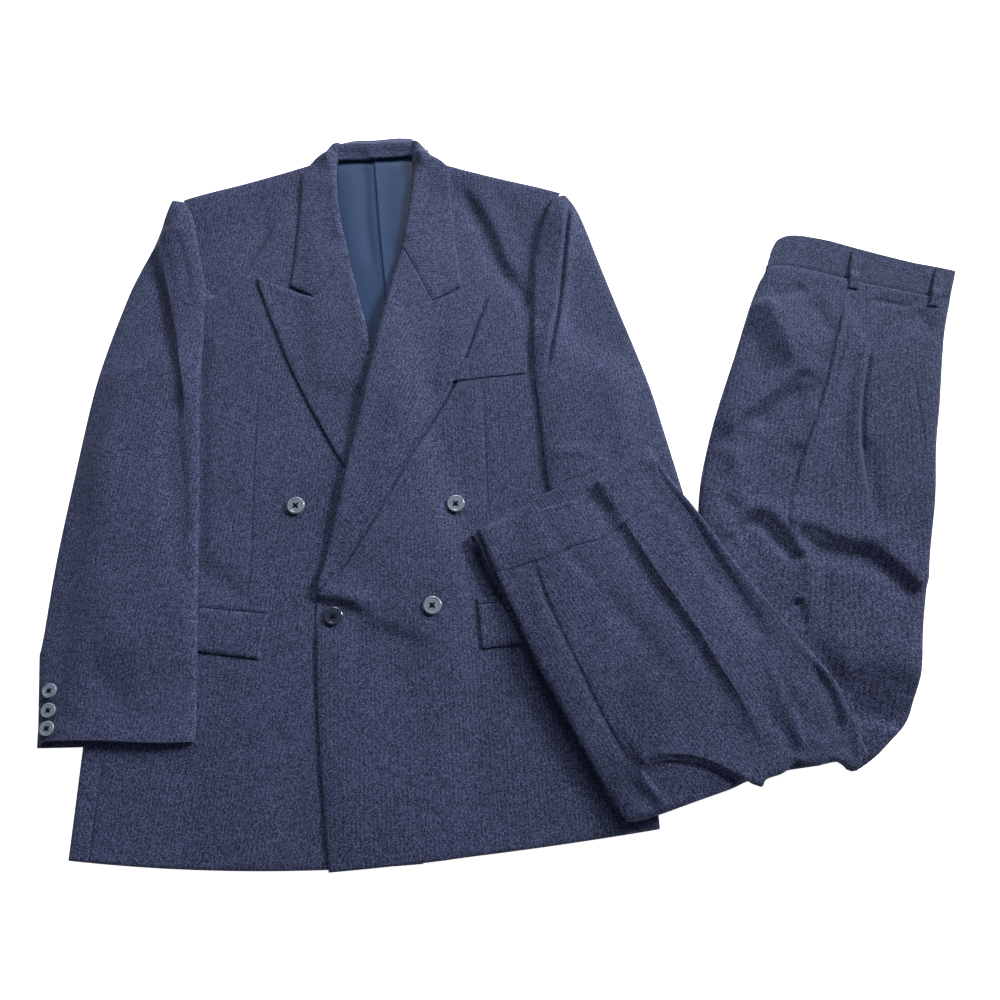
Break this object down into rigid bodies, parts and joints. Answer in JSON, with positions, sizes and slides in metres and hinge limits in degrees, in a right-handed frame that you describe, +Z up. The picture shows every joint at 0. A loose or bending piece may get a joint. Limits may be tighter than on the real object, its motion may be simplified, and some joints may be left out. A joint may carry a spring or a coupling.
{
  "type": "two-piece suit",
  "caption": "Double-breasted peak-lapel jacket laid flat, front up, with pleated, cuffed trousers folded in quarters beside it and their legs folded back over its lower corner.",
  "frame": {"origin": "on the surface that the suit lies on, under the middle of the laid suit's bounding box", "axes": "+X towards the wearer's left, across the suit's length from the jacket's right sleeve to the trousers; +Y from hem to collar; +Z up, out of the laid cloth"},
  "size_m": [1.065, 0.883, 0.0284],
  "materials": {
    "suiting": "dark navy wool suiting, dry matt nap with fine broken light flecks along the warp",
    "lining": "blue satin lining with a soft sheen",
    "button": "dark navy turned resin, half gloss"
  },
  "bodies": {
    "root": {"jacket_back": "suiting", "back_lining": "lining", "front_right": "suiting", "front_left": "suiting", "lapel_right": "suiting", "lapel_left": "suiting", "collar": "suiting", "sleeve_right": "suiting", "sleeve_left": "suiting", "breast_welt": "suiting", "pocket_jet_right": "suiting", "pocket_flap_right": "suiting", "pocket_jet_left": "suiting", "pocket_flap_left": "suiting", "button_show_right": "button", "button_show_left": "button", "button_lower_left": "button", "button_fastened": "button", "sleeve_button_top": "button", "sleeve_button_middle": "button", "sleeve_button_cuff": "button", "waistband": "suiting", "belt_loop_1": "suiting", "belt_loop_2": "suiting", "trouser_front": "suiting", "trouser_under_layers": "suiting", "leg_front": "suiting", "leg_back": "suiting", "leg_under_layers": "suiting", "turn_up": "suiting"}
  },
  "joints": []
}
